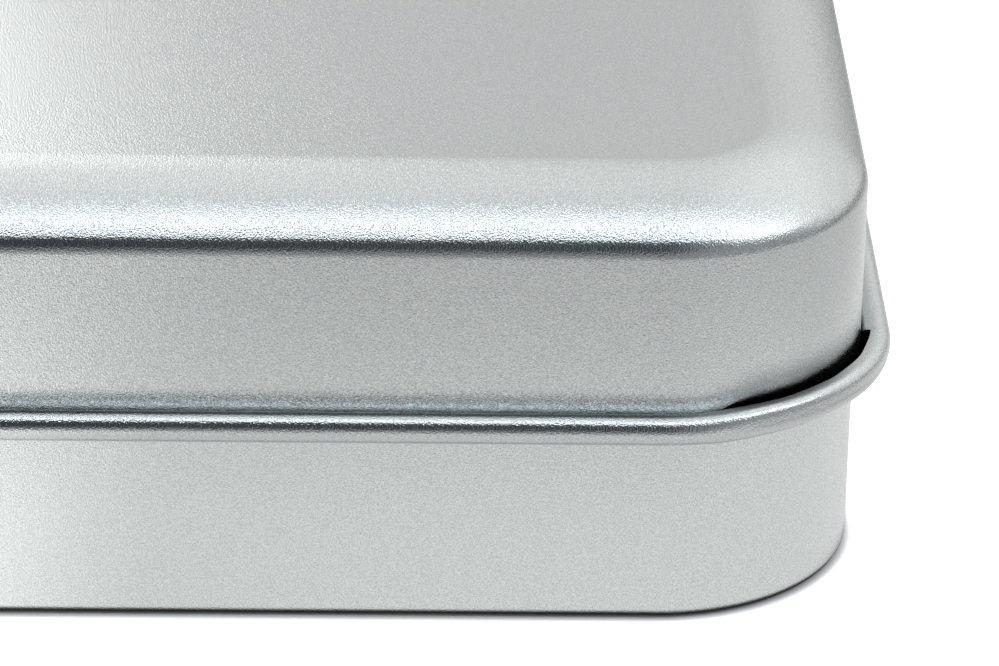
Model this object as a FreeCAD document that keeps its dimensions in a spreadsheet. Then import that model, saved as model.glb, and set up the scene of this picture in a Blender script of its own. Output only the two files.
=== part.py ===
"""Rectangular slip-lid tin box, shut: a drawn body and the lid pushed over it.

The lid's skirt ends in a curl, rolled outwards, that stands off the wall all round.
Millimetres, +Z up, +X along the long sides, origin on the floor at the middle of the box.
"""
import FreeCAD, Part
import math
import os

import Sketcher

SHEET_NAME = "Sizes"

# The driving dimensions. "Wall plane" is the outer face of the body's straight walls.
DIMENSIONS = {
    "body_length": 120.0,      # between the wall planes of the two ends
    "body_width": 85.0,        # between the wall planes of the two long sides
    "corner_radius": 13.5,     # the body's upright corners
    "base_edge_radius": 0.7,   # where the wall turns under to the base
    "tin_height": 30.25,       # from the floor to the lid's flat panel
    "sheet_thickness": 0.3,    # tinplate with its coatings
    "lid_clearance": 0.12,     # from the wall plane to the inside of the skirt
    "skirt_top": 26.1,         # height where the skirt starts to bend over
    "knuckle_radius": 1.8,     # the tight bend at the top of the skirt
    "shoulder_radius": 10.0,   # the broad bend from there up to the panel
    "panel_inset": 6.3,        # from the wall plane in to the crease round the panel
    "curl_radius": 1.0,        # outside of the rolled tube
    "curl_offset": 1.45,       # from the wall plane out to the middle of the tube
    "curl_height": 14.65,      # the middle of the tube above the floor
    "curl_end_angle": 165.0,   # where the raw edge stops, from straight outwards up and over
    "panel_lip": 1.0,          # flat strip inside the crease before the panel's middle
}

START = 1
END = 2
CENTRE = 3
ORIGIN = (-1, 1)
Z_AXIS = FreeCAD.Vector(0, 0, 1)


def make_sheet(doc):
    """Write every driving dimension into a cell of its own and give it an alias."""
    sheet = doc.addObject("Spreadsheet::Sheet", SHEET_NAME)
    for row, (name, value) in enumerate(DIMENSIONS.items(), start=1):
        sheet.set("A%d" % row, name)
        sheet.set("B%d" % row, str(value))
        sheet.setAlias("B%d" % row, name)
    doc.recompute()
    return sheet


def size(name):
    """Return an expression that reads one cell of the sheet."""
    return "%s.%s" % (SHEET_NAME, name)


def new_sketch(body, name, plane_role):
    """Add a sketch on one of the body's own origin planes."""
    plane = next(item for item in body.Origin.OriginFeatures if item.Role == plane_role)
    sketch = body.newObject("Sketcher::SketchObject", name)
    sketch.AttachmentSupport = [(plane, "")]
    sketch.MapMode = "FlatFace"
    return sketch


def dimension(sketch, name, expression, value, kind, *where):
    """Add a dimension that starts at value, name it and bind it to the sheet."""
    index = sketch.addConstraint(Sketcher.Constraint(kind, *where, value))
    sketch.renameConstraint(index, name)
    sketch.setExpression("Constraints." + name, expression)


def arc(centre, radius, first_angle, last_angle):
    """Return a sketch arc that runs anticlockwise between two angles in degrees."""
    circle = Part.Circle(FreeCAD.Vector(centre[0], centre[1], 0), Z_AXIS, radius)
    return Part.ArcOfCircle(circle, math.radians(first_angle), math.radians(last_angle))


def line(start, end):
    """Return a straight sketch line between two points."""
    return Part.LineSegment(FreeCAD.Vector(*start, 0), FreeCAD.Vector(*end, 0))


def round_rectangle(sketch, sheet, inset_expression, inset):
    """Draw the box's outline, moved in by inset, round the origin.

    The back side is two lines that meet on the Y axis, so that the outline starts there.
    """
    half_x = sheet.body_length / 2 - inset
    half_y = sheet.body_width / 2 - inset
    radius = sheet.corner_radius - inset
    mid_x = half_x - radius
    mid_y = half_y - radius
    shapes = [
        line((0, half_y), (-mid_x, half_y)),
        arc((-mid_x, mid_y), radius, 90, 180),
        line((-half_x, mid_y), (-half_x, -mid_y)),
        arc((-mid_x, -mid_y), radius, 180, 270),
        line((-mid_x, -half_y), (mid_x, -half_y)),
        arc((mid_x, -mid_y), radius, 270, 360),
        line((half_x, -mid_y), (half_x, mid_y)),
        arc((mid_x, mid_y), radius, 0, 90),
        line((mid_x, half_y), (0, half_y)),
    ]
    sketch.addGeometry(shapes, False)
    corners = (1, 3, 5, 7)
    for corner in corners:
        sketch.addConstraint(Sketcher.Constraint("Tangent", corner - 1, END, corner, START))
        sketch.addConstraint(Sketcher.Constraint("Tangent", corner, END, corner + 1, START))
    for corner in corners[1:]:
        sketch.addConstraint(Sketcher.Constraint("Equal", corners[0], corner))
    sketch.addConstraint(Sketcher.Constraint("Coincident", 8, END, 0, START))
    for flat in (0, 4, 8):
        sketch.addConstraint(Sketcher.Constraint("Horizontal", flat))
    for upright in (2, 6):
        sketch.addConstraint(Sketcher.Constraint("Vertical", upright))
    sketch.addConstraint(Sketcher.Constraint("Symmetric", 1, CENTRE, 5, CENTRE, *ORIGIN))
    sketch.addConstraint(Sketcher.Constraint("PointOnObject", 0, START, -2))
    dimension(sketch, "half_length", "%s / 2 - (%s)" % (size("body_length"), inset_expression),
              half_x, "DistanceX", *ORIGIN, 6, START)
    dimension(sketch, "half_width", "%s / 2 - (%s)" % (size("body_width"), inset_expression),
              half_y, "DistanceY", *ORIGIN, 0, START)
    dimension(sketch, "corner", "%s - (%s)" % (size("corner_radius"), inset_expression),
              radius, "Radius", 1)


def lid_section(sketch, sheet):
    """Draw the lid's sheet in section at the back wall, from the panel to the raw edge.

    The section's X is the box's Y and its Y is the box's Z. Bends that share a centre are
    the two faces of the sheet.
    """
    thick = sheet.sheet_thickness
    wall = sheet.body_width / 2
    skirt_in = wall + sheet.lid_clearance
    skirt_out = skirt_in + thick
    knuckle = sheet.knuckle_radius
    shoulder = sheet.shoulder_radius
    crease_x = wall - sheet.panel_inset
    lip_x = crease_x - sheet.panel_lip
    lip_under = sheet.tin_height - thick
    knuckle_at = (skirt_out - knuckle, sheet.skirt_top)

    # The shoulder's centre lies a shoulder radius from the crease and, because the two
    # bends are tangent, the difference of their radii from the knuckle's centre.
    across = knuckle_at[0] - crease_x
    down = sheet.tin_height - knuckle_at[1]
    span = math.hypot(across, down)
    reach = shoulder - knuckle
    along = (shoulder ** 2 - reach ** 2 + span ** 2) / (2 * span)
    aside = math.sqrt(shoulder ** 2 - along ** 2)
    shoulder_at = (crease_x + (along * across - aside * down) / span,
                   sheet.tin_height - (along * down + aside * across) / span)
    joint = math.degrees(math.atan2(knuckle_at[1] - shoulder_at[1],
                                    knuckle_at[0] - shoulder_at[0]))
    crease = math.degrees(math.atan2(sheet.tin_height - shoulder_at[1],
                                     crease_x - shoulder_at[0]))
    under_rise = lip_under - shoulder_at[1]
    under_x = shoulder_at[0] + math.sqrt((shoulder - thick) ** 2 - under_rise ** 2)
    under_crease = math.degrees(math.atan2(under_rise, under_x - shoulder_at[0]))

    tube_at = (wall + sheet.curl_offset, sheet.curl_height)
    tube = sheet.curl_radius
    turn = tube_at[0] - skirt_in
    turn_at = (tube_at[0], tube_at[1] - tube + turn)
    raw = math.radians(sheet.curl_end_angle)
    raw_out = (tube_at[0] + tube * math.cos(raw), tube_at[1] + tube * math.sin(raw))
    raw_in = (tube_at[0] + (tube - thick) * math.cos(raw),
              tube_at[1] + (tube - thick) * math.sin(raw))

    shapes = [
        line((skirt_out, turn_at[1]), (skirt_out, knuckle_at[1])),
        arc(knuckle_at, knuckle, 0, joint),
        arc(shoulder_at, shoulder, joint, crease),
        line((crease_x, sheet.tin_height), (lip_x, sheet.tin_height)),
        line((lip_x, sheet.tin_height), (lip_x, lip_under)),
        line((lip_x, lip_under), (under_x, lip_under)),
        arc(shoulder_at, shoulder - thick, joint, under_crease),
        arc(knuckle_at, knuckle - thick, 0, joint),
        line((skirt_in, knuckle_at[1]), (skirt_in, turn_at[1])),
        arc(turn_at, turn, 180, 270),
        arc(tube_at, tube, -90, sheet.curl_end_angle),
        line(raw_out, raw_in),
        arc(tube_at, tube - thick, -90, sheet.curl_end_angle),
        arc(turn_at, turn - thick, 180, 270),
    ]
    sketch.addGeometry(shapes, False)
    (outer_skirt, outer_knuckle, outer_shoulder, outer_lip, lip_edge, inner_lip,
     inner_shoulder, inner_knuckle, inner_skirt, inner_turn, outer_curl, raw_edge,
     inner_curl, outer_turn) = range(len(shapes))

    smooth_joints = (
        (outer_skirt, END, outer_knuckle, START),
        (outer_knuckle, END, outer_shoulder, START),
        (inner_knuckle, END, inner_shoulder, START),
        (inner_skirt, START, inner_knuckle, START),
        (inner_skirt, END, inner_turn, START),
        (inner_turn, END, outer_curl, START),
        (outer_turn, END, inner_curl, START),
        (outer_skirt, START, outer_turn, START),
    )
    for joint_ends in smooth_joints:
        sketch.addConstraint(Sketcher.Constraint("Tangent", *joint_ends))
    sharp_joints = (
        (outer_shoulder, END, outer_lip, START),
        (outer_lip, END, lip_edge, START),
        (lip_edge, END, inner_lip, START),
        (inner_lip, END, inner_shoulder, END),
        (outer_curl, END, raw_edge, START),
        (raw_edge, END, inner_curl, END),
    )
    for joint_ends in sharp_joints:
        sketch.addConstraint(Sketcher.Constraint("Coincident", *joint_ends))
    shared_centres = (
        (outer_knuckle, inner_knuckle),
        (outer_shoulder, inner_shoulder),
        (outer_turn, inner_turn),
        (outer_curl, inner_curl),
    )
    for outer, inner in shared_centres:
        sketch.addConstraint(Sketcher.Constraint("Coincident", outer, CENTRE, inner, CENTRE))
    for upright in (outer_skirt, inner_skirt, lip_edge):
        sketch.addConstraint(Sketcher.Constraint("Vertical", upright))
    for flat in (outer_lip, inner_lip):
        sketch.addConstraint(Sketcher.Constraint("Horizontal", flat))
    sketch.addConstraint(Sketcher.Constraint("Vertical", outer_curl, CENTRE, outer_turn, CENTRE))
    sketch.addConstraint(Sketcher.Constraint("PointOnObject", outer_curl, CENTRE, raw_edge))

    half_width = size("body_width") + " / 2"
    dimension(sketch, "skirt_face", "%s + %s" % (half_width, size("lid_clearance")),
              skirt_in, "DistanceX", *ORIGIN, inner_skirt, START)
    dimension(sketch, "skirt_sheet", size("sheet_thickness"),
              thick, "DistanceX", inner_skirt, START, outer_skirt, END)
    dimension(sketch, "skirt_end", size("skirt_top"),
              sheet.skirt_top, "DistanceY", *ORIGIN, outer_knuckle, START)
    dimension(sketch, "knuckle", size("knuckle_radius"), knuckle, "Radius", outer_knuckle)
    dimension(sketch, "shoulder", size("shoulder_radius"), shoulder, "Radius", outer_shoulder)
    dimension(sketch, "crease_in", "%s - %s" % (half_width, size("panel_inset")),
              crease_x, "DistanceX", *ORIGIN, outer_shoulder, END)
    dimension(sketch, "crease_up", size("tin_height"),
              sheet.tin_height, "DistanceY", *ORIGIN, outer_shoulder, END)
    dimension(sketch, "lip", size("panel_lip"), sheet.panel_lip,
              "DistanceX", outer_lip, END, outer_lip, START)
    dimension(sketch, "panel_sheet", size("sheet_thickness"), thick,
              "DistanceY", lip_edge, END, lip_edge, START)
    dimension(sketch, "tube_out", "%s + %s" % (half_width, size("curl_offset")),
              tube_at[0], "DistanceX", *ORIGIN, outer_curl, CENTRE)
    dimension(sketch, "tube_up", size("curl_height"),
              tube_at[1], "DistanceY", *ORIGIN, outer_curl, CENTRE)
    dimension(sketch, "tube", size("curl_radius"), tube, "Radius", outer_curl)
    dimension(sketch, "raw_edge_turn", "(%s + 90) * 1 deg" % size("curl_end_angle"),
              math.radians(sheet.curl_end_angle + 90), "Angle", outer_curl)


def pad(body, sketch, name, length_expression):
    """Pad a sketch upwards by a length from the sheet."""
    feature = body.newObject("PartDesign::Pad", name)
    feature.Profile = sketch
    feature.setExpression("Length", length_expression)
    return feature


def round_edges(body, base, name, height, radius_expression):
    """Round the edges of base that lie flat at one height."""
    edges = ["Edge%d" % number for number, edge in enumerate(base.Shape.Edges, start=1)
             if all(abs(vertex.Z - height) < 1e-6 for vertex in edge.Vertexes)]
    feature = body.newObject("PartDesign::Fillet", name)
    feature.Base = (base, edges)
    feature.setExpression("Radius", radius_expression)
    return feature


def make_body(doc, sheet):
    """Make the body: shut in, it is solid from its base up to the lid's flat panel."""
    body = doc.addObject("PartDesign::Body", "TinBody")
    body.Label = "tin_body"
    outline = new_sketch(body, "BodyOutline", "XY_Plane")
    round_rectangle(outline, sheet, "0", 0)
    top_expression = "%s - %s" % (size("tin_height"), size("sheet_thickness"))
    block = pad(body, outline, "BodyBlock", top_expression)
    doc.recompute()
    top = round_edges(body, block, "FilledTop", sheet.tin_height - sheet.sheet_thickness,
                      "%s + %s" % (size("panel_inset"), size("panel_lip")))
    doc.recompute()
    round_edges(body, top, "BaseEdge", 0, size("base_edge_radius"))
    doc.recompute()
    return body


def make_lid(doc, sheet):
    """Make the lid: its sheet swept round the outline, closed by the flat panel."""
    body = doc.addObject("PartDesign::Body", "TinLid")
    body.Label = "tin_lid"
    outline = new_sketch(body, "WallOutline", "XY_Plane")
    round_rectangle(outline, sheet, "0", 0)
    section = new_sketch(body, "LidSection", "YZ_Plane")
    lid_section(section, sheet)
    doc.recompute()
    rim = body.newObject("PartDesign::AdditivePipe", "SkirtAndShoulder")
    rim.Profile = section
    rim.Spine = outline
    doc.recompute()
    panel_outline = new_sketch(body, "PanelOutline", "XY_Plane")
    panel_outline.setExpression(
        "AttachmentOffset.Base.z",
        "(%s - %s) * 1 mm" % (size("tin_height"), size("sheet_thickness")))
    round_rectangle(panel_outline, sheet,
                    "%s + %s" % (size("panel_inset"), size("panel_lip")),
                    sheet.panel_inset + sheet.panel_lip)
    pad(body, panel_outline, "FlatPanel", size("sheet_thickness"))
    doc.recompute()
    return body


def check_document(doc, pieces):
    """Stop if anything failed to compute or a piece isn't one valid closed solid."""
    for item in doc.Objects:
        if "Invalid" in item.State or "Error" in item.State:
            raise RuntimeError("%s failed: %s" % (item.Name, item.State))
    for piece in pieces:
        shape = piece.Shape
        if shape.isNull() or not shape.isValid() or len(shape.Solids) != 1:
            raise RuntimeError("%s isn't one valid solid" % piece.Label)


def write_pieces(pieces):
    """Write each piece to a STEP file named after it."""
    os.makedirs("parts", exist_ok=True)
    for piece in pieces:
        piece.Shape.exportStep("parts/%s.step" % piece.Label)
        print("%-9s %.1f mm3" % (piece.Label, piece.Shape.Volume))


def main():
    """Build the tin box and write its pieces."""
    doc = FreeCAD.newDocument("TinBox")
    sheet = make_sheet(doc)
    pieces = [make_body(doc, sheet), make_lid(doc, sheet)]
    check_document(doc, pieces)
    write_pieces(pieces)


main()
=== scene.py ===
"""Dresses the shut rectangular tin box: a drawn body and a slip lid in bare satin tinplate."""

import math

import bmesh
import bpy
from bpy.props import FloatProperty, FloatVectorProperty, PointerProperty
from mathutils import Matrix, Quaternion, Vector


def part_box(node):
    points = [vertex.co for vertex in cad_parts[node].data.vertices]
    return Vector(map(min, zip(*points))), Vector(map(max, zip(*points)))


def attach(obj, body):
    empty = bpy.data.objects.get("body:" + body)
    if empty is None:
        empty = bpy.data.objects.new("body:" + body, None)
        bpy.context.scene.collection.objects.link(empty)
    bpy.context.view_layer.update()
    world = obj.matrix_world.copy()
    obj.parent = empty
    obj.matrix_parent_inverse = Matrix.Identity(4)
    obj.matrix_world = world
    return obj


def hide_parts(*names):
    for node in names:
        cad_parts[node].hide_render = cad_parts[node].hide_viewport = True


bl_info = {
    "name": "Rectangular Tin Box",
    "version": (1, 0, 0),
    "blender": (4, 5, 0),
    "location": "View3D > Sidebar > Tin Box",
    "description": "Builds a shut slip-lid tin box and the studio round it",
    "category": "Object",
}

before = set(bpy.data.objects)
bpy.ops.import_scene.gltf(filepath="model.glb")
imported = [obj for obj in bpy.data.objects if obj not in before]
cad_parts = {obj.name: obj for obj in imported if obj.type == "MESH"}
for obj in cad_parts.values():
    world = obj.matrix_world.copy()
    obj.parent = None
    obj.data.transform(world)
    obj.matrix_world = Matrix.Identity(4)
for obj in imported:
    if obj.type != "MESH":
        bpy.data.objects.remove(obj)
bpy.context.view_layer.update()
BODY_LOW, BODY_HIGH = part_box("tin_body")
LID_LOW, LID_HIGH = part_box("tin_lid")
HALF_LENGTH = BODY_HIGH.x
HALF_WIDTH = BODY_HIGH.y
TIN_HEIGHT = LID_HIGH.z
SHEET = LID_HIGH.z - BODY_HIGH.z
MM = 0.001
QUARTER = math.pi / 2
WHITE = (1.0, 1.0, 1.0, 1.0)


def length(name, description, default, soft_min=0.0):
    """A length in metres that a user may change."""
    return FloatProperty(name=name, description=description, default=default,
                         soft_min=soft_min, unit="LENGTH", precision=5)


def angle(name, description, degrees):
    """An angle that a user may change, given in degrees and kept in radians."""
    return FloatProperty(name=name, description=description, default=math.radians(degrees),
                         subtype="ANGLE")


def factor(name, description, default, soft_max=1.0):
    """A plain number from nought upwards."""
    return FloatProperty(name=name, description=description, default=default,
                         min=0.0, soft_max=soft_max)


def colour(name, description, default):
    """A linear colour."""
    return FloatVectorProperty(name=name, description=description, default=default,
                               size=3, subtype="COLOR", min=0.0, max=1.0)


class TinSizes(bpy.types.PropertyGroup):
    """Sizes of the tin's bends, which the frame's boxes don't give."""

    corner_radius: length("Corner radius", "The body's upright corners", 13.5 * MM)
    base_edge_radius: length("Base edge radius", "Where the wall turns under", 0.7 * MM)
    lid_clearance: length("Lid clearance", "Body wall to the inside of the skirt", 0.12 * MM)
    skirt_top: length("Skirt top", "Height where the skirt bends over", 26.1 * MM)
    knuckle_radius: length("Knuckle radius", "Tight bend over the skirt", 1.8 * MM)
    shoulder_radius: length("Shoulder radius", "Broad bend up to the panel", 10.0 * MM)
    panel_inset: length("Panel inset", "Body wall in to the panel's crease", 6.3 * MM)
    panel_lip: length("Panel lip", "Flat strip inside the crease", 1.0 * MM)
    crease_lip: length("Crease lip", "Width over which the crease fades", 0.3 * MM)
    curl_radius: length("Curl radius", "Outside of the rolled tube", 1.0 * MM)
    curl_end: angle("Curl end", "Where the raw edge stops on the straight sides", 165.0)
    curl_corner_end: angle("Curl end at the corners",
                           "Where the raw edge stops round the corners", 112.0)
    curl_squareness: factor("Curl squareness", "How much flatter the roll is round the corners",
                            1.4, soft_max=3.0)
    curl_lean: angle("Curl lean", "How far the flattened roll leans back round the corners", 8.0)
    curl_lift: length("Curl lift", "How much higher the roll rides round the corners", 0.2 * MM)
    curl_squeeze: factor("Curl squeeze", "How much thinner the roll is round the corners", 0.08)
    # Painted shade: how far the colour of the roll's lower half is darkened.
    curl_shade: factor("Curl shade", "How dull the lower half of the roll is", 0.3)
    curl_waver: angle("Curl waver", "How unevenly the raw edge runs round the corners", 4.0)
    # Painted shade: over this height above the open roll, round the corners, the skirt's colour is
    # darkened.
    shade_rise: length("Shade rise", "How far above the open roll the skirt lies in its shade",
                       2.9 * MM)


class TinFinish(bpy.types.PropertyGroup):
    """The bare tinplate's finish, and the painted shade in its gaps."""

    bright_metal: colour("Bright metal", "The colour of the tin crystals", (0.77, 0.80, 0.795))
    dull_metal: colour("Dull metal", "The colour between the crystals", (0.56, 0.59, 0.585))
    smooth: factor("Smooth", "Roughness of the tin crystals", 0.18)
    rough: factor("Rough", "Roughness between the crystals", 0.23)
    # Painted shade: the near-black colour the metal is darkened to in folds and gaps, and how far
    # out of a gap it reaches.
    crevice_shade: colour("Crevice", "The metal's colour deep in folds and gaps", (0.03, 0.03, 0.03))
    crevice_shade_reach: length("Crevice reach", "How far out of a gap the metal stays dark", 0.7 * MM)
    fleck_size: length("Fleck size", "Distance between the tin crystals", 0.08 * MM)
    grain_size: length("Grain size", "Distance between the pits of the rolled sheet", 0.10 * MM)
    grain_depth: length("Grain depth", "Depth of the pits of the rolled sheet", 0.020 * MM)


class StudioSettings(bpy.types.PropertyGroup):
    """The floor, the lamps and the camera."""

    floor: colour("Floor", "The floor's colour", (0.80, 0.80, 0.80))
    # Painted shadow: how far from the base the floor's glow is darkened, on top of its real
    # shadow.
    contact_reach: length("Contact shadow reach", "How far the shadow at the base edge goes",
                          1.2 * MM)
    cool: colour("Cool", "Tint of the light overhead and in front", (0.88, 0.935, 1.0))
    # Painted light: the pool, spill and left brightening are the floor's glow as reflections see
    # it, not lamp light.
    pool: factor("Light pool", "Brightness of the floor close to the tin, as metal sees it", 0.89)
    spill: factor("Spill", "Brightness of the floor further off, as metal sees it", 0.68)
    pool_left: factor("Light pool at the left", "How much brighter the floor is at the left", 0.62)
    pool_start: length("Pool start", "Where the light pool begins to fade", 26 * MM)
    pool_end: length("Pool end", "Where the light pool has faded", 30 * MM)
    spill_start: length("Spill start", "Where the spill begins to fade", 75 * MM)
    spill_end: length("Spill end", "Where the spill has faded", 105 * MM)
    room: factor("Room", "Brightness of the room behind the tin", 0.82)
    low_room: factor("Low room", "How much of that is left low down behind the tin", 0.72)
    right: factor("Right", "Brightness that the room gains towards the right", 0.25)
    left: factor("Left", "How much brighter the room behind is at the left", 0.55)
    front: factor("Front", "Brightness of the room in front of the tin", 0.04)
    low_front: factor("Low front", "Brightness of the room and floor low down in front", 0.28)
    softbox: factor("Softbox", "Brightness of the wide softbox overhead", 1.95)
    window: factor("Window", "Brightness of the window behind at the left", 0.8)
    side: factor("Side lamp", "Brightness of the softbox at the right", 1.2)
    lens: FloatProperty(name="Lens", description="Focal length in millimetres",
                        default=180.0, min=10.0, subtype="DISTANCE_CAMERA")
    camera_distance: length("Camera distance", "From the camera to the point it looks at",
                            320.6 * MM)
    camera_height: angle("Camera height", "Angle above the horizon", 25.48)
    camera_turn: angle("Camera turn", "Angle from square-on to the long side", 1.20)
    camera_roll: angle("Camera roll", "Tilt about the line of sight", 0.99)
    aim_inset: length("Aim inset", "Right-hand wall to the point looked at", 24.08 * MM)
    aim_height: length("Aim height", "Floor to the point looked at", 20.8 * MM)


# ---------------------------------------------------------------- sheet-metal sections

WELD = 1e-7
SHARP_FROM = math.radians(40)


def run_to(bm, vert, x, z):
    """Draws a straight stretch of a section from vert to a point and returns its end."""
    end = bmesh.ops.extrude_vert_indiv(bm, verts=[vert])["verts"][0]
    end.co = Vector((x, vert.co.y, z))
    return end


def bend(bm, vert, centre, turn, steps):
    """Bends a section on from vert, round a centre in its plane.

    A positive turn goes from outwards to upwards. Returns the new vertices in order.
    """
    start = set(bm.verts)
    bmesh.ops.spin(bm, geom=[vert], cent=(centre[0], vert.co.y, centre[1]),
                   axis=(0.0, -1.0, 0.0), angle=turn, steps=steps, use_duplicate=False)
    added = [new for new in bm.verts if new not in start]
    middle = Vector((centre[0], 0.0, centre[1]))

    def turned(point):
        out = vert.co - middle
        now = point.co - middle
        swept = math.atan2(out.x * now.z - out.z * now.x, out.x * now.x + out.z * now.z)
        return swept % (2 * math.pi) if turn > 0 else -swept % (2 * math.pi)

    return sorted(added, key=turned)


def sweep_section(bm, edges, corner_radius, corner_steps, side_steps, end_steps):
    """Carries a section round a quarter of the box and mirrors that to the whole."""
    mid_x = HALF_LENGTH - corner_radius
    mid_y = HALF_WIDTH - corner_radius

    def carry(geometry, shift, steps):
        """Extrudes edges along a straight side and returns the far ones."""
        for _ in range(steps):
            made = bmesh.ops.extrude_edge_only(bm, edges=geometry)["geom"]
            verts = [item for item in made if isinstance(item, bmesh.types.BMVert)]
            bmesh.ops.translate(bm, verts=verts, vec=shift / steps)
            far = set(verts)
            geometry = [item for item in made if isinstance(item, bmesh.types.BMEdge)
                        and item.verts[0] in far and item.verts[1] in far]
        return geometry

    far = carry(edges, Vector((0.0, mid_y, 0.0)), end_steps)
    spun = bmesh.ops.spin(bm, geom=far + list({v for e in far for v in e.verts}),
                          cent=(mid_x, mid_y, 0.0), axis=(0.0, 0.0, 1.0),
                          angle=QUARTER, steps=corner_steps, use_duplicate=False)
    far = [item for item in spun["geom_last"] if isinstance(item, bmesh.types.BMEdge)]
    carry(far, Vector((-mid_x, 0.0, 0.0)), side_steps)
    for axis in "XY":
        bmesh.ops.mirror(bm, geom=bm.verts[:] + bm.edges[:] + bm.faces[:],
                         matrix=Matrix.Identity(4), merge_dist=WELD, axis=axis)
    bmesh.ops.remove_doubles(bm, verts=bm.verts[:], dist=WELD)


def close_flats(bm):
    """Closes the open loops of a swept section with flat faces."""
    bmesh.ops.holes_fill(bm, edges=[e for e in bm.edges if e.is_boundary], sides=0)


def finish_piece(bm, name, node, material):
    """Turns a finished bmesh into a smooth piece that rides on the root body."""
    bmesh.ops.recalc_face_normals(bm, faces=bm.faces[:])
    for face in bm.faces:
        face.smooth = True
    for edge in bm.edges:
        edge.smooth = len(edge.link_faces) != 2 or edge.calc_face_angle() < SHARP_FROM
    mesh = bpy.data.meshes.new(name)
    bm.to_mesh(mesh)
    bm.free()
    piece = bpy.data.objects.new(name, mesh)
    bpy.context.scene.collection.objects.link(piece)
    mesh.materials.append(material)
    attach(piece, "root")
    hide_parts(node)


# ---------------------------------------------------------------- lid

# How finely each stretch of a section, or of its way round the box, is divided.
CORNER_STEPS = 45
SIDE_STEPS = 16
END_STEPS = 10
SHOULDER_STEPS = 26
KNUCKLE_STEPS = 14
SKIRT_STEPS = 24
TURN_STEPS = 10
CURL_STEPS = 30

# Where the changes round a corner come and go, in degrees from the long side.
OPENING = (8.0, 28.0)
SHUTTING = (84.0, 88.0)
EASING = (45.0, 88.0)
WAVES = (4.0, 7.0)

SETTLED = 0.3       # share of the roll over which the squeeze and the lift grow
ROLL_SHADE_BELOW = 0.2    # height over the roll's middle, in radii, below which its lower half gets painted shade


def shoulder_centre(sizes):
    """The shoulder's centre: a radius from the crease, and tangent to the knuckle."""
    knuckle_x = HALF_LENGTH + sizes.lid_clearance + SHEET - sizes.knuckle_radius
    across = knuckle_x - (HALF_LENGTH - sizes.panel_inset)
    down = TIN_HEIGHT - sizes.skirt_top
    span = math.hypot(across, down)
    reach = sizes.shoulder_radius - sizes.knuckle_radius
    along = (sizes.shoulder_radius ** 2 - reach ** 2 + span ** 2) / (2 * span)
    aside = math.sqrt(sizes.shoulder_radius ** 2 - along ** 2)
    return (knuckle_x - across + (along * across - aside * down) / span,
            TIN_HEIGHT - (along * down + aside * across) / span)


def lid_section(bm, sizes, roll, painted_shade):
    """Draws the lid's sheet in section: over the outside, round the curl and back inside.

    Marks how far round the roll each point lies, and gives the points that line its hollow full
    painted shade.
    """
    skirt_in = HALF_LENGTH + sizes.lid_clearance
    skirt_out = skirt_in + SHEET
    knuckle = (skirt_out - sizes.knuckle_radius, sizes.skirt_top)
    shoulder = shoulder_centre(sizes)
    crease_x = HALF_LENGTH - sizes.panel_inset
    lip_x = crease_x - sizes.panel_lip
    joint = math.atan2(knuckle[1] - shoulder[1], knuckle[0] - shoulder[0])
    crease = math.atan2(TIN_HEIGHT - shoulder[1], crease_x - shoulder[0])
    under_rise = TIN_HEIGHT - SHEET - shoulder[1]
    under = math.asin(under_rise / (sizes.shoulder_radius - SHEET))
    tube = (LID_HIGH.x - sizes.curl_radius, LID_LOW.z + sizes.curl_radius)
    turn_radius = tube[0] - skirt_in
    turn = (tube[0], LID_LOW.z + turn_radius)
    rolled = sizes.curl_end + QUARTER

    vert = bm.verts.new((lip_x, 0.0, TIN_HEIGHT))
    vert = run_to(bm, vert, crease_x - sizes.crease_lip, TIN_HEIGHT)
    vert = run_to(bm, vert, crease_x, TIN_HEIGHT)
    vert = bend(bm, vert, shoulder, joint - crease, SHOULDER_STEPS)[-1]
    vert = bend(bm, vert, knuckle, -joint, KNUCKLE_STEPS)[-1]
    fall = (sizes.skirt_top - turn[1]) / SKIRT_STEPS
    for step in range(1, SKIRT_STEPS + 1):
        vert = run_to(bm, vert, skirt_out, sizes.skirt_top - fall * step)
    lining = bend(bm, vert, turn, QUARTER, TURN_STEPS)
    inside = bend(bm, lining[-1], tube, rolled, CURL_STEPS)
    raw = inside[-1].co - Vector((tube[0], 0.0, tube[1]))
    raw *= sizes.curl_radius / (sizes.curl_radius - SHEET)
    vert = run_to(bm, inside[-1], tube[0] + raw.x, tube[1] + raw.z)
    outside = [vert] + bend(bm, vert, tube, -rolled, CURL_STEPS)
    for step, pair in enumerate(zip(inside, reversed(outside[:-1])), start=1):
        for rolled_vert in pair:
            rolled_vert[roll] = step / CURL_STEPS
    vert = bend(bm, outside[-1], turn, -QUARTER, TURN_STEPS)[-1]
    vert = run_to(bm, vert, skirt_in, sizes.skirt_top)
    vert = bend(bm, vert, knuckle, joint, KNUCKLE_STEPS)[-1]
    vert = bend(bm, vert, shoulder, under - joint, SHOULDER_STEPS)[-1]
    run_to(bm, vert, lip_x, TIN_HEIGHT - SHEET)
    # Painted shade: the turn's lining and the inside of the roll are marked fully dark.
    for hidden in lining + inside:
        hidden[painted_shade] = 1.0
    bmesh.ops.remove_doubles(bm, verts=bm.verts[:], dist=WELD / 10)
    return tube


def rim_place(point, corner_radius):
    """Where a point lies on the rim: the foot of its corner or side, and the way out."""
    mid_x = HALF_LENGTH - corner_radius
    mid_y = HALF_WIDTH - corner_radius
    foot = Vector((max(-mid_x, min(mid_x, point.x)), max(-mid_y, min(mid_y, point.y)), 0.0))
    if abs(point.x) < mid_x:
        foot.x, foot.y = point.x, math.copysign(mid_y, point.y)
    elif abs(point.y) < mid_y:
        foot.x, foot.y = math.copysign(mid_x, point.x), point.y
    out = Vector((point.x, point.y, 0.0)) - foot
    return foot, out.normalized()


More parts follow.
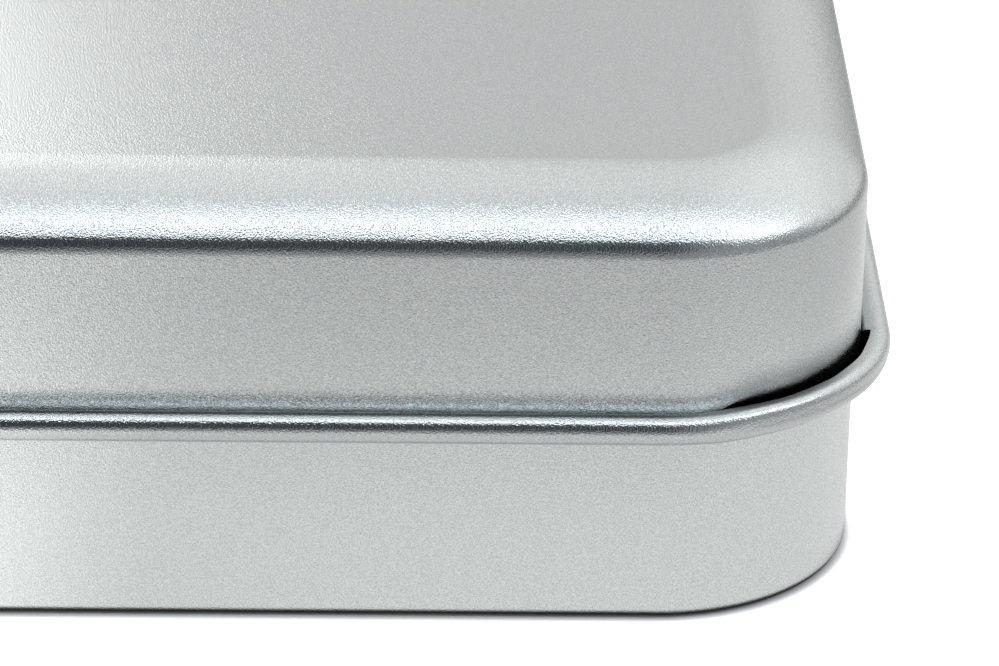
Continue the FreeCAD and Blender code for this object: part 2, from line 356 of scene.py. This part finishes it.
def ramp(value, start, end):
    """Rises smoothly from 0 at start to 1 at end."""
    share = max(0.0, min(1.0, (value - start) / (end - start)))
    return share * share * (3 - 2 * share)


def corner_share(out, closing):
    """How far a place on the rim is in a corner, from 0 on the straight sides to 1.

    It rises slowly after the long side and falls over the given angles at the end wall.
    """
    slant = math.degrees(math.atan2(abs(out.x), abs(out.y)))
    return ramp(slant, *OPENING) * (1 - ramp(slant, *closing))


def waver(out):
    """An uneven number between -1 and 1 that differs from corner to corner."""
    slant = math.degrees(math.atan2(abs(out.x), abs(out.y)))
    phase = 2 * math.copysign(1, out.x) + math.copysign(1, out.y)
    return math.sin(slant / WAVES[0] + phase) * math.sin(slant / WAVES[1] - 2 * phase)


def open_curl(bm, sizes, roll, painted_shade, tube):
    """Stops the roll short and squares it round the corners, where the sheet resists it.

    Marks painted shade on the skirt above the open roll there, deepest at the roll, and on the
    lower half of the roll all round.
    """
    radius_to_tube = tube[0] - HALF_LENGTH + sizes.corner_radius
    upright = Vector((0.0, 0.0, 1.0))
    shade_top = tube[1] + sizes.curl_radius + sizes.shade_rise
    for vert in bm.verts:
        foot, out = rim_place(vert.co, sizes.corner_radius)
        eased = corner_share(out, EASING)
        # Painted shade: the skirt is darkened from the top of the shade rise down to the roll,
        # round the corners only.
        if vert[roll] <= 0.0:
            sunk = max(0.0, min(1.0, (shade_top - vert.co.z) / (shade_top - tube[1])))
            vert[painted_shade] = max(vert[painted_shade], eased * sunk)
            continue
        share = corner_share(out, SHUTTING)
        grown = eased * ramp(vert[roll], 0.0, SETTLED)
        middle = foot + out * radius_to_tube + upright * tube[1]
        reach = (vert.co - middle).length * (1 - sizes.curl_squeeze * grown)
        end = sizes.curl_end + (sizes.curl_corner_end - sizes.curl_end) * share
        end += sizes.curl_waver * waver(out) * share
        turned = vert[roll] * (end + QUARTER) - QUARTER
        power = 2 + sizes.curl_squareness * eased
        across, up = math.cos(turned), math.sin(turned)
        lean = turned - sizes.curl_lean * eased
        reach /= (abs(math.cos(lean)) ** power + abs(math.sin(lean)) ** power) ** (1 / power)
        vert.co = middle + (out * across + upright * up) * reach
        vert.co.z += sizes.curl_lift * grown
        # Painted shade on the roll's lower half, fading in round its middle.
        if up < ROLL_SHADE_BELOW:
            roll_shade = sizes.curl_shade * ramp(-up, -ROLL_SHADE_BELOW, ROLL_SHADE_BELOW)
            vert[painted_shade] = max(vert[painted_shade], roll_shade)


# ---------------------------------------------------------------- material helpers

NOISE_RANGE = (0.25, 0.75)
GAP_SHADE_BELOW = 0.3    # openness under which metal in a gap gets painted shade


def add_node(tree, kind, **values):
    """Adds a node and sets its properties and its unlinked sockets by name."""
    made = tree.nodes.new(kind)
    for name, value in values.items():
        if hasattr(made, name):
            setattr(made, name, value)
        else:
            made.inputs[name.replace("_", " ")].default_value = value
    return made


def combine(tree, operation, first, second):
    """Adds a Math node on two sockets or numbers and returns its result."""
    made = tree.nodes.new("ShaderNodeMath")
    made.operation = operation
    for socket, value in zip(made.inputs, (first, second)):
        if isinstance(value, bpy.types.NodeSocket):
            tree.links.new(value, socket)
        else:
            socket.default_value = value
    return made.outputs[0]


def fade(tree, value, start, end, low, high):
    """Maps a value smoothly from start..end to low..high and returns the result."""
    made = add_node(tree, "ShaderNodeMapRange", interpolation_type="SMOOTHSTEP",
                    From_Min=start, From_Max=end, To_Min=low, To_Max=high)
    tree.links.new(value, made.inputs["Value"])
    return made.outputs["Result"]


def tinplate_material(finish):
    """Bare satin tinplate: fine pits of the rolled sheet under small bright tin crystals, with
    painted shade in gaps and inside the roll.
    """
    material = bpy.data.materials.get("satin_tinplate")
    if material:
        return material
    material = bpy.data.materials.new("satin_tinplate")
    material.use_nodes = True
    tree = material.node_tree
    shader = tree.nodes["Principled BSDF"]
    shader.inputs["Metallic"].default_value = 1.0
    place = add_node(tree, "ShaderNodeTexCoord")
    flecks = add_node(tree, "ShaderNodeTexNoise", Scale=1.0 / finish.fleck_size, Detail=0.0)
    pits = add_node(tree, "ShaderNodeTexNoise", Scale=1.0 / finish.grain_size, Detail=0.0)
    for grain in (flecks, pits):
        tree.links.new(place.outputs["Object"], grain.inputs["Vector"])
    spread = add_node(tree, "ShaderNodeMapRange", From_Min=NOISE_RANGE[0],
                      From_Max=NOISE_RANGE[1])
    tree.links.new(flecks.outputs["Fac"], spread.inputs["Value"])
    tone = add_node(tree, "ShaderNodeMix", data_type="RGBA")
    tone.inputs[6].default_value = (*finish.dull_metal, 1.0)
    tone.inputs[7].default_value = (*finish.bright_metal, 1.0)
    tree.links.new(spread.outputs["Result"], tone.inputs[0])
    # Painted shade: an ambient-occlusion test and the value on the vertices darken the base colour
    # towards the near-black crevice colour.
    gap = add_node(tree, "ShaderNodeAmbientOcclusion", samples=8,
                   Distance=finish.crevice_shade_reach)
    painted_shade_mix = add_node(tree, "ShaderNodeMix", data_type="RGBA")
    painted_shade_mix.inputs[6].default_value = (*finish.crevice_shade, 1.0)
    painted_shade = add_node(tree, "ShaderNodeAttribute", attribute_name="painted_shade")
    unshaded = combine(tree, "MULTIPLY",
                    fade(tree, gap.outputs["AO"], 0.0, GAP_SHADE_BELOW, 0.0, 1.0),
                    fade(tree, painted_shade.outputs["Fac"], 0.0, 1.0, 1.0, 0.0))
    tree.links.new(unshaded, painted_shade_mix.inputs[0])
    tree.links.new(tone.outputs[2], painted_shade_mix.inputs[7])
    tree.links.new(painted_shade_mix.outputs[2], shader.inputs["Base Color"])
    polish = add_node(tree, "ShaderNodeMapRange", To_Min=finish.rough, To_Max=finish.smooth)
    tree.links.new(spread.outputs["Result"], polish.inputs["Value"])
    tree.links.new(polish.outputs["Result"], shader.inputs["Roughness"])
    relief = add_node(tree, "ShaderNodeBump", Distance=finish.grain_depth)
    tree.links.new(pits.outputs["Fac"], relief.inputs["Height"])
    tree.links.new(relief.outputs["Normal"], shader.inputs["Normal"])
    return material


# ---------------------------------------------------------------- operators

class TIN_OT_make_lid(bpy.types.Operator):
    """Makes the lid's sheet with its shoulder, skirt and rolled curl"""

    bl_idname = "tin.make_lid"
    bl_label = "Make Lid"

    def execute(self, context):
        sizes = context.scene.tin_sizes
        bm = bmesh.new()
        roll = bm.verts.layers.float.new("roll")
        painted_shade = bm.verts.layers.float.new("painted_shade")
        tube = lid_section(bm, sizes, roll, painted_shade)
        sweep_section(bm, bm.edges[:], sizes.corner_radius, CORNER_STEPS, SIDE_STEPS, END_STEPS)
        open_curl(bm, sizes, roll, painted_shade, tube)
        bm.verts.layers.float.remove(roll)
        close_flats(bm)
        finish_piece(bm, "lid_sheet", "tin_lid", tinplate_material(context.scene.tin_finish))
        return {"FINISHED"}


class TIN_OT_make_body(bpy.types.Operator):
    """Makes the body's wall and base, closed under the lid"""

    bl_idname = "tin.make_body"
    bl_label = "Make Body"

    def execute(self, context):
        sizes = context.scene.tin_sizes
        edge = sizes.base_edge_radius
        fill = sizes.panel_inset + sizes.panel_lip
        top = BODY_HIGH.z
        bm = bmesh.new()
        vert = bm.verts.new((HALF_LENGTH - edge - sizes.panel_lip, 0.0, BODY_LOW.z))
        vert = run_to(bm, vert, HALF_LENGTH - edge - sizes.crease_lip, BODY_LOW.z)
        vert = run_to(bm, vert, HALF_LENGTH - edge, BODY_LOW.z)
        vert = bend(bm, vert, (HALF_LENGTH - edge, edge), QUARTER, KNUCKLE_STEPS)[-1]
        rise = (top - fill - edge) / SKIRT_STEPS
        for step in range(1, SKIRT_STEPS + 1):
            vert = run_to(bm, vert, HALF_LENGTH, edge + rise * step)
        vert = bend(bm, vert, (HALF_LENGTH - fill, top - fill), QUARTER, KNUCKLE_STEPS)[-1]
        run_to(bm, vert, HALF_LENGTH - fill - sizes.panel_lip, top)
        sweep_section(bm, bm.edges[:], sizes.corner_radius, CORNER_STEPS, SIDE_STEPS, END_STEPS)
        close_flats(bm)
        finish_piece(bm, "body_shell", "tin_body", tinplate_material(context.scene.tin_finish))
        return {"FINISHED"}


# ---------------------------------------------------------------- studio

FLOOR_REACH = 3.0
FLOOR_LEFT = (14 * MM, -6 * MM)     # where the floor's painted glow gets brighter towards the left
CONTACT_OPEN = (0.45, 0.95)         # openness from the full painted contact shadow to none
CONTACT_DARK = 0.03

# Where the room changes, as parts of a direction: X to the right, Y to the back, Z up.
FRONT_RISE = (0.0, 0.30)
FRONT_TO_BACK = (-0.35, 0.25)
BACK_RISE = (0.38, 0.58)
RIGHT_SIDE = (0.0, 0.4)
LEFT_SIDE = (-0.13, -0.045)

# Each lamp's place, and its face's width and height, in metres.
SOFTBOX_PLACE, SOFTBOX_FACE = (0.0, -0.155, 0.45), (1.0, 0.15)
WINDOW_PLACE, WINDOW_FACE = (-0.09, 0.20, 0.15), (0.16, 0.18)
SIDE_PLACE, SIDE_FACE = (0.42, -0.18, 0.34), (0.30, 0.24)


class TIN_OT_set_studio(bpy.types.Operator):
    """Lays the floor and sets the lamps and the camera"""

    bl_idname = "tin.set_studio"
    bl_label = "Set Studio"

    def execute(self, context):
        scene = context.scene
        studio = scene.tin_studio
        make_floor(studio)
        make_world(studio)
        softbox = make_lamp("softbox", SOFTBOX_PLACE, SOFTBOX_FACE, studio.softbox)
        softbox.data.color = studio.cool
        make_lamp("window", WINDOW_PLACE, WINDOW_FACE, studio.window)
        make_lamp("side_lamp", SIDE_PLACE, SIDE_FACE, studio.side)
        scene.camera = make_camera(studio)
        scene.view_settings.view_transform = "Standard"
        return {"FINISHED"}


def make_floor(studio):
    """Lays a wide pale floor, white to the camera, with a painted pool of light round the tin for
    reflections and a painted contact shadow at the base.
    """
    bm = bmesh.new()
    bmesh.ops.create_grid(bm, x_segments=1, y_segments=1, size=FLOOR_REACH)
    mesh = bpy.data.meshes.new("floor")
    bm.to_mesh(mesh)
    bm.free()
    floor = bpy.data.objects.new("floor", mesh)
    bpy.context.scene.collection.objects.link(floor)
    material = bpy.data.materials.new("floor")
    material.use_nodes = True
    mesh.materials.append(material)
    tree = material.node_tree
    tree.nodes.remove(tree.nodes["Principled BSDF"])
    place = add_node(tree, "ShaderNodeTexCoord")
    split = add_node(tree, "ShaderNodeSeparateXYZ")
    tree.links.new(place.outputs["Object"], split.inputs["Vector"])
    beyond = []
    for axis, half in (("X", HALF_LENGTH), ("Y", HALF_WIDTH)):
        out = combine(tree, "ABSOLUTE", split.outputs[axis], 0.0)
        out = combine(tree, "MAXIMUM", combine(tree, "SUBTRACT", out, half), 0.0)
        beyond.append(combine(tree, "POWER", out, 2.0))
    away = combine(tree, "SQRT", combine(tree, "ADD", *beyond), 0.0)
    # Painted light: a glowing pool round the tin, brighter to the left and dimmer further off,
    # which only reflections see.
    pool = fade(tree, away, studio.pool_start, studio.pool_end, studio.pool, studio.spill)
    left = fade(tree, split.outputs["X"], *FLOOR_LEFT, 1.0, 1.0 + studio.pool_left)
    edge = fade(tree, away, studio.spill_start, studio.spill_end, 1.0,
                studio.low_front / studio.spill)
    shade = add_node(tree, "ShaderNodeAmbientOcclusion", Distance=studio.contact_reach)
    path = add_node(tree, "ShaderNodeLightPath")
    seen = combine(tree, "MULTIPLY", combine(tree, "MULTIPLY", pool, left), edge)
    seen = combine(tree, "MULTIPLY", seen, path.outputs["Is Glossy Ray"])
    seen = combine(tree, "ADD", seen, path.outputs["Is Camera Ray"])
    # Painted shadow: the glow darkens where the floor meets the tin's base; the diffuse part keeps
    # the real shadow too.
    contact = fade(tree, shade.outputs["AO"], *CONTACT_OPEN, CONTACT_DARK, 1.0)
    seen = combine(tree, "MULTIPLY", seen, contact)
    matt = add_node(tree, "ShaderNodeBsdfDiffuse", Color=(*studio.floor, 1.0))
    light = add_node(tree, "ShaderNodeEmission")
    lit = add_node(tree, "ShaderNodeAddShader")
    pick = add_node(tree, "ShaderNodeMixShader")
    tree.links.new(seen, light.inputs["Strength"])
    tree.links.new(matt.outputs[0], lit.inputs[0])
    tree.links.new(light.outputs[0], lit.inputs[1])
    tree.links.new(path.outputs["Is Glossy Ray"], pick.inputs[0])
    tree.links.new(lit.outputs[0], pick.inputs[1])
    tree.links.new(light.outputs[0], pick.inputs[2])
    tree.links.new(pick.outputs[0], tree.nodes["Material Output"].inputs["Surface"])


def make_lamp(name, place, size, brightness):
    """Hangs a softbox that faces the tin, with the given brightness on its face."""
    data = bpy.data.lights.new(name, "AREA")
    data.shape = "RECTANGLE"
    data.size, data.size_y = size
    data.energy = brightness * math.pi * size[0] * size[1]
    lamp = bpy.data.objects.new(name, data)
    bpy.context.scene.collection.objects.link(lamp)
    lamp.location = place
    lamp.rotation_mode = "QUATERNION"
    lamp.rotation_quaternion = (-Vector(place)).to_track_quat("-Z", "Y")
    lamp.visible_camera = False
    return lamp


def make_world(studio):
    """Surrounds the tin with a room that is bright behind and dark in front."""
    world = bpy.data.worlds.new("studio")
    bpy.context.scene.world = world
    world.use_nodes = True
    tree = world.node_tree
    room = tree.nodes["Background"]
    place = add_node(tree, "ShaderNodeTexCoord")
    split = add_node(tree, "ShaderNodeSeparateXYZ")
    tree.links.new(place.outputs["Generated"], split.inputs["Vector"])
    dusk = fade(tree, split.outputs["Z"], *FRONT_RISE, studio.low_front, studio.front)
    ahead = fade(tree, split.outputs["Y"], *FRONT_TO_BACK, 1.0, 0.0)
    depth = fade(tree, split.outputs["Y"], *FRONT_TO_BACK, 0.0, studio.room)
    height = fade(tree, split.outputs["Z"], *BACK_RISE, studio.low_room, 1.0)
    right = fade(tree, split.outputs["X"], *RIGHT_SIDE, 0.0, studio.right)
    left = fade(tree, split.outputs["X"], *LEFT_SIDE, 1.0 + studio.left, 1.0)
    behind = combine(tree, "MULTIPLY", combine(tree, "MULTIPLY", depth, height), left)
    total = combine(tree, "ADD", combine(tree, "MULTIPLY", ahead, dusk), behind)
    tree.links.new(combine(tree, "ADD", total, right), room.inputs["Strength"])
    hue = add_node(tree, "ShaderNodeMix", data_type="RGBA")
    hue.inputs[6].default_value = WHITE
    hue.inputs[7].default_value = (*studio.cool, 1.0)
    tree.links.new(ahead, hue.inputs[0])
    tree.links.new(hue.outputs[2], room.inputs["Color"])
    plain = add_node(tree, "ShaderNodeBackground", Color=WHITE, Strength=1.0)
    path = add_node(tree, "ShaderNodeLightPath")
    pick = add_node(tree, "ShaderNodeMixShader")
    tree.links.new(path.outputs["Is Camera Ray"], pick.inputs[0])
    tree.links.new(room.outputs[0], pick.inputs[1])
    tree.links.new(plain.outputs[0], pick.inputs[2])
    tree.links.new(pick.outputs[0], tree.nodes["World Output"].inputs["Surface"])


def make_camera(studio):
    """Sets the camera close in on the right-hand front corner."""
    aim = Vector((HALF_LENGTH - studio.aim_inset, -HALF_WIDTH, studio.aim_height))
    level = math.cos(studio.camera_height)
    look = Vector((math.sin(studio.camera_turn) * level, math.cos(studio.camera_turn) * level,
                   -math.sin(studio.camera_height)))
    data = bpy.data.cameras.new("camera")
    data.lens = studio.lens
    data.clip_start = 0.01
    camera = bpy.data.objects.new("camera", data)
    bpy.context.scene.collection.objects.link(camera)
    camera.rotation_mode = "QUATERNION"
    camera.rotation_quaternion = (look.to_track_quat("-Z", "Y")
                                  @ Quaternion((0.0, 0.0, 1.0), studio.camera_roll))
    camera.location = aim - look * studio.camera_distance
    return camera


class TIN_PT_panel(bpy.types.Panel):
    """Lists the tin's operators and settings."""

    bl_label = "Rectangular Tin Box"
    bl_idname = "TIN_PT_panel"
    bl_space_type = "VIEW_3D"
    bl_region_type = "UI"
    bl_category = "Tin Box"

    def draw(self, context):
        for step in OPERATORS:
            self.layout.operator(step.bl_idname)
        for group in (context.scene.tin_sizes, context.scene.tin_finish, context.scene.tin_studio):
            box = self.layout.box()
            for name in group.__annotations__:
                box.prop(group, name)


OPERATORS = (TIN_OT_make_body, TIN_OT_make_lid, TIN_OT_set_studio)
CLASSES = (TinSizes, TinFinish, StudioSettings, *OPERATORS, TIN_PT_panel)


def register():
    """Registers the classes and hangs the settings on the scene."""
    for item in CLASSES:
        bpy.utils.register_class(item)
    bpy.types.Scene.tin_sizes = PointerProperty(type=TinSizes)
    bpy.types.Scene.tin_finish = PointerProperty(type=TinFinish)
    bpy.types.Scene.tin_studio = PointerProperty(type=StudioSettings)


def unregister():
    """Takes the settings off the scene and unregisters the classes."""
    del bpy.types.Scene.tin_studio
    del bpy.types.Scene.tin_finish
    del bpy.types.Scene.tin_sizes
    for item in reversed(CLASSES):
        bpy.utils.unregister_class(item)


def main():
    """Builds the pieces and the studio."""
    register()
    bpy.ops.tin.make_body()
    bpy.ops.tin.make_lid()
    bpy.ops.tin.set_studio()


if __name__ == "__main__":
    main()
